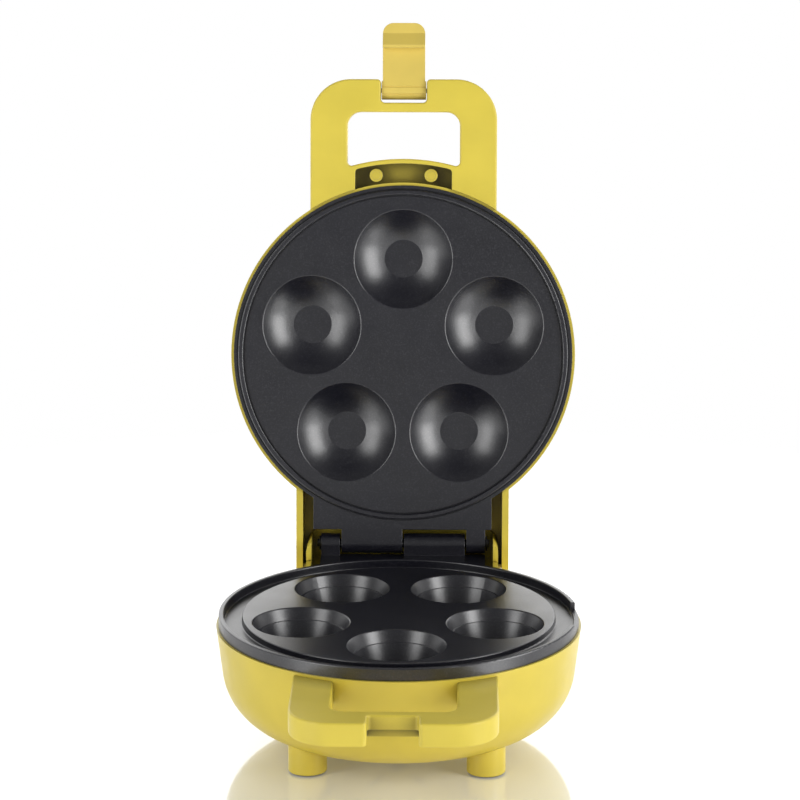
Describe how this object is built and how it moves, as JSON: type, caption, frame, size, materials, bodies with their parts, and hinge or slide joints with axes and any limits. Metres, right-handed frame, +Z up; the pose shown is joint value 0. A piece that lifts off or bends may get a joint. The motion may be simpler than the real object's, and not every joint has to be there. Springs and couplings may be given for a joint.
{
  "type": "mini cake maker",
  "caption": "Countertop electric maker for small round cakes: a round base and a hinged lid with facing cup plates, loop grips and a latch, standing open.",
  "frame": {"origin": "middle of the round base, on the surface that the feet stand on", "axes": "+X to the right seen from the front, +Y to the back where the hinge is, +Z up"},
  "size_m": [0.176, 0.2998, 0.3311],
  "materials": {
    "casing_yellow": "satin moulded",
    "grip_yellow": "satin moulded",
    "latch_yellow": "satin moulded",
    "non_stick_casting": "die cast with a dark non-stick coating",
    "steel": "plain",
    "dark_steel": "blackened",
    "reflector": "bright sheet",
    "tube_sheath": "oxidised",
    "ceramic_white": "unglazed",
    "black_plastic": "moulded",
    "white_plastic": "moulded",
    "lead_sleeve": "glass-fibre sleeve",
    "pad_rubber": "matte"
  },
  "bodies": {
    "base": {"base_shell": "casing_yellow", "base_plate": "non_stick_casting", "base_plate_screws": "steel", "base_heater": "tube_sheath", "base_heater_sleeves": "ceramic_white", "base_heater_straps": "steel", "base_heat_shield": "reflector", "base_thermostat": "black_plastic", "base_thermal_fuse": "white_plastic", "base_terminal_block": "white_plastic", "base_leads": "lead_sleeve", "base_handle": "grip_yellow", "base_handle_screws": "steel", "cord_gland": "black_plastic", "foot_front_left": "casing_yellow", "foot_front_right": "casing_yellow", "foot_rear_left": "casing_yellow", "foot_rear_right": "casing_yellow", "foot_pads": "pad_rubber", "hinge_pin": "dark_steel", "hinge_clips": "dark_steel"},
    "lid": {"lid_shell": "casing_yellow", "lid_plate": "non_stick_casting", "lid_plate_screws": "steel", "lid_cap": "casing_yellow", "lid_heater": "tube_sheath", "lid_heater_sleeves": "ceramic_white", "lid_heater_straps": "steel", "lid_heat_shield": "reflector", "lid_leads": "lead_sleeve", "lid_handle": "grip_yellow", "lid_handle_screws": "steel", "lid_handle_plugs": "grip_yellow", "latch_pin": "steel"},
    "latch": {"latch": "latch_yellow"}
  },
  "joints": [
    {"name": "lid_hinge", "type": "hinge", "parent": "base", "child": "lid", "pos_m": [0, 0.0966, 0.0702], "axis": [1, 0, 0], "range_deg": [0, 100]},
    {"name": "latch_pivot", "type": "hinge", "parent": "lid", "child": "latch", "pos_m": [0, 0.1383, 0.2969], "axis": [1, 0, 0], "range_deg": [0, 90]}
  ]
}
